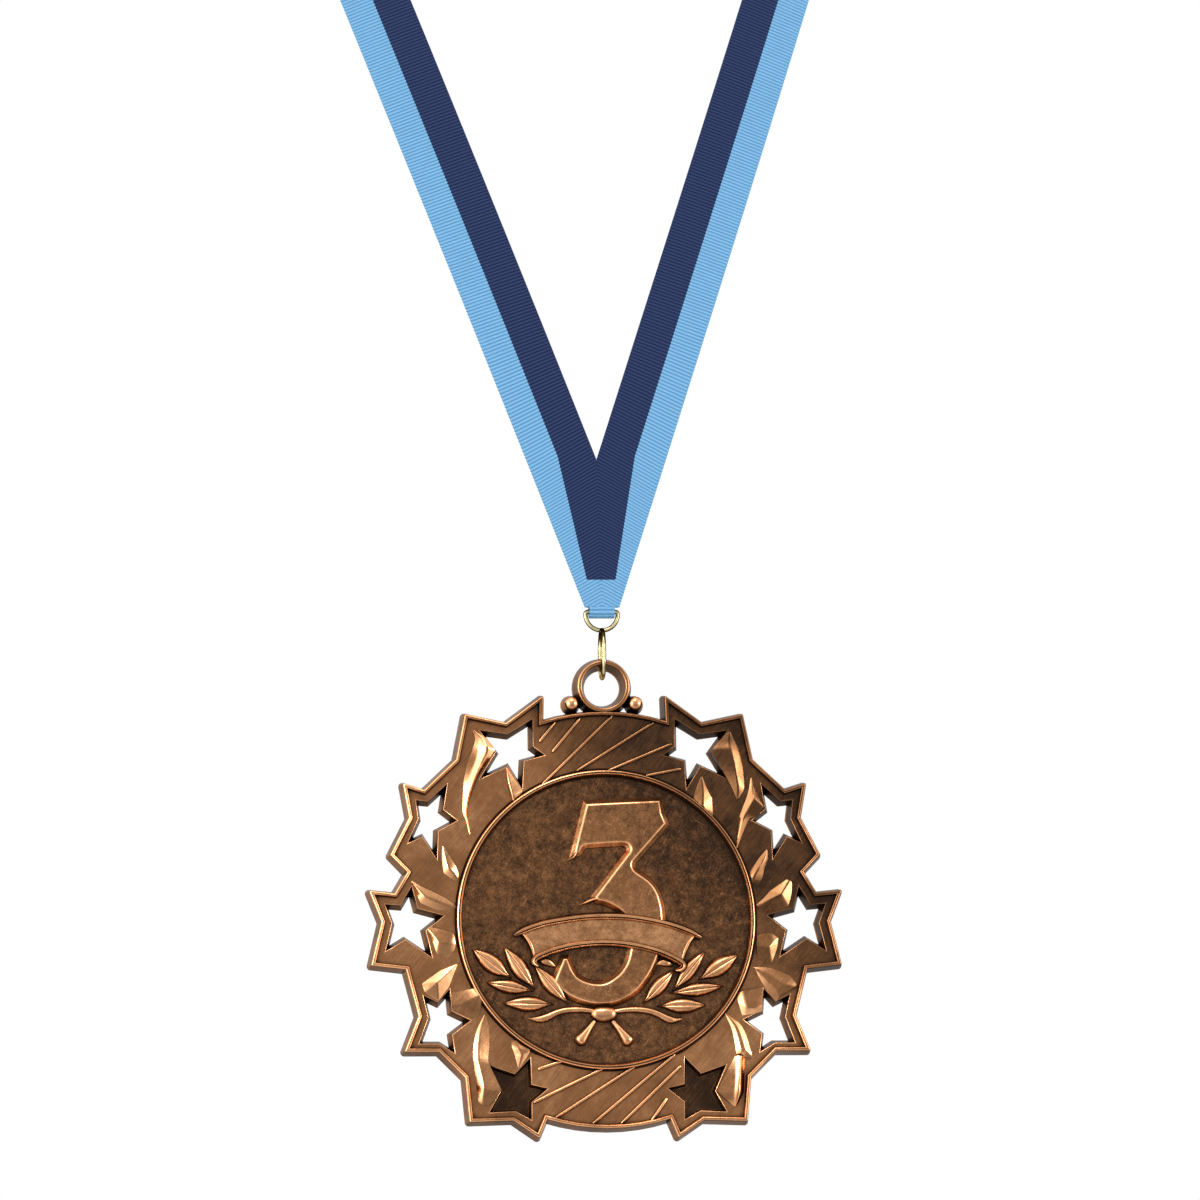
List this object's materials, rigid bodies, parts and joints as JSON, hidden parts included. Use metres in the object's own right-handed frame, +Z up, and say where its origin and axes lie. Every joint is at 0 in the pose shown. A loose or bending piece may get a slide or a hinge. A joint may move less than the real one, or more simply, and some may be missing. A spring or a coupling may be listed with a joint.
{
  "type": "star medal on a neck ribbon",
  "caption": "Cast bronze-finish third-place medal with a star-cut rim, numeral and laurel, on a light blue and navy neck ribbon with a gold wire clip.",
  "frame": {"origin": "middle of the ribbon's inner face at the nape, where it rests on the back of the neck", "axes": "+Z up along the hanging medal, -Y the way the medal's front faces, +X to the right of a viewer who looks at that front"},
  "size_m": [0.1468, 0.1803, 0.3951],
  "materials": {
    "cast_bronze": "antique bronze plating on a zinc casting, dark in the recesses and rubbed bright on the edges",
    "gold_wire": "bright gold plating",
    "grosgrain": "ribbed ribbon, light blue outer half and navy inner half"
  },
  "bodies": {
    "ribbon": {"neck_ribbon": "grosgrain"},
    "clip": {"ribbon_clip": "gold_wire"},
    "medal": {"star_medal": "cast_bronze"}
  },
  "joints": [
    {"name": "clip_swing", "type": "hinge", "parent": "ribbon", "child": "clip", "pos_m": [0, -0.17388, -0.31129], "axis": [1, 0, 0], "range_deg": [-100, 110]},
    {"name": "medal_swing", "type": "hinge", "parent": "clip", "child": "medal", "pos_m": [0, -0.17388, -0.32134], "axis": [0, 1, 0], "range_deg": [-80, 80]}
  ]
}
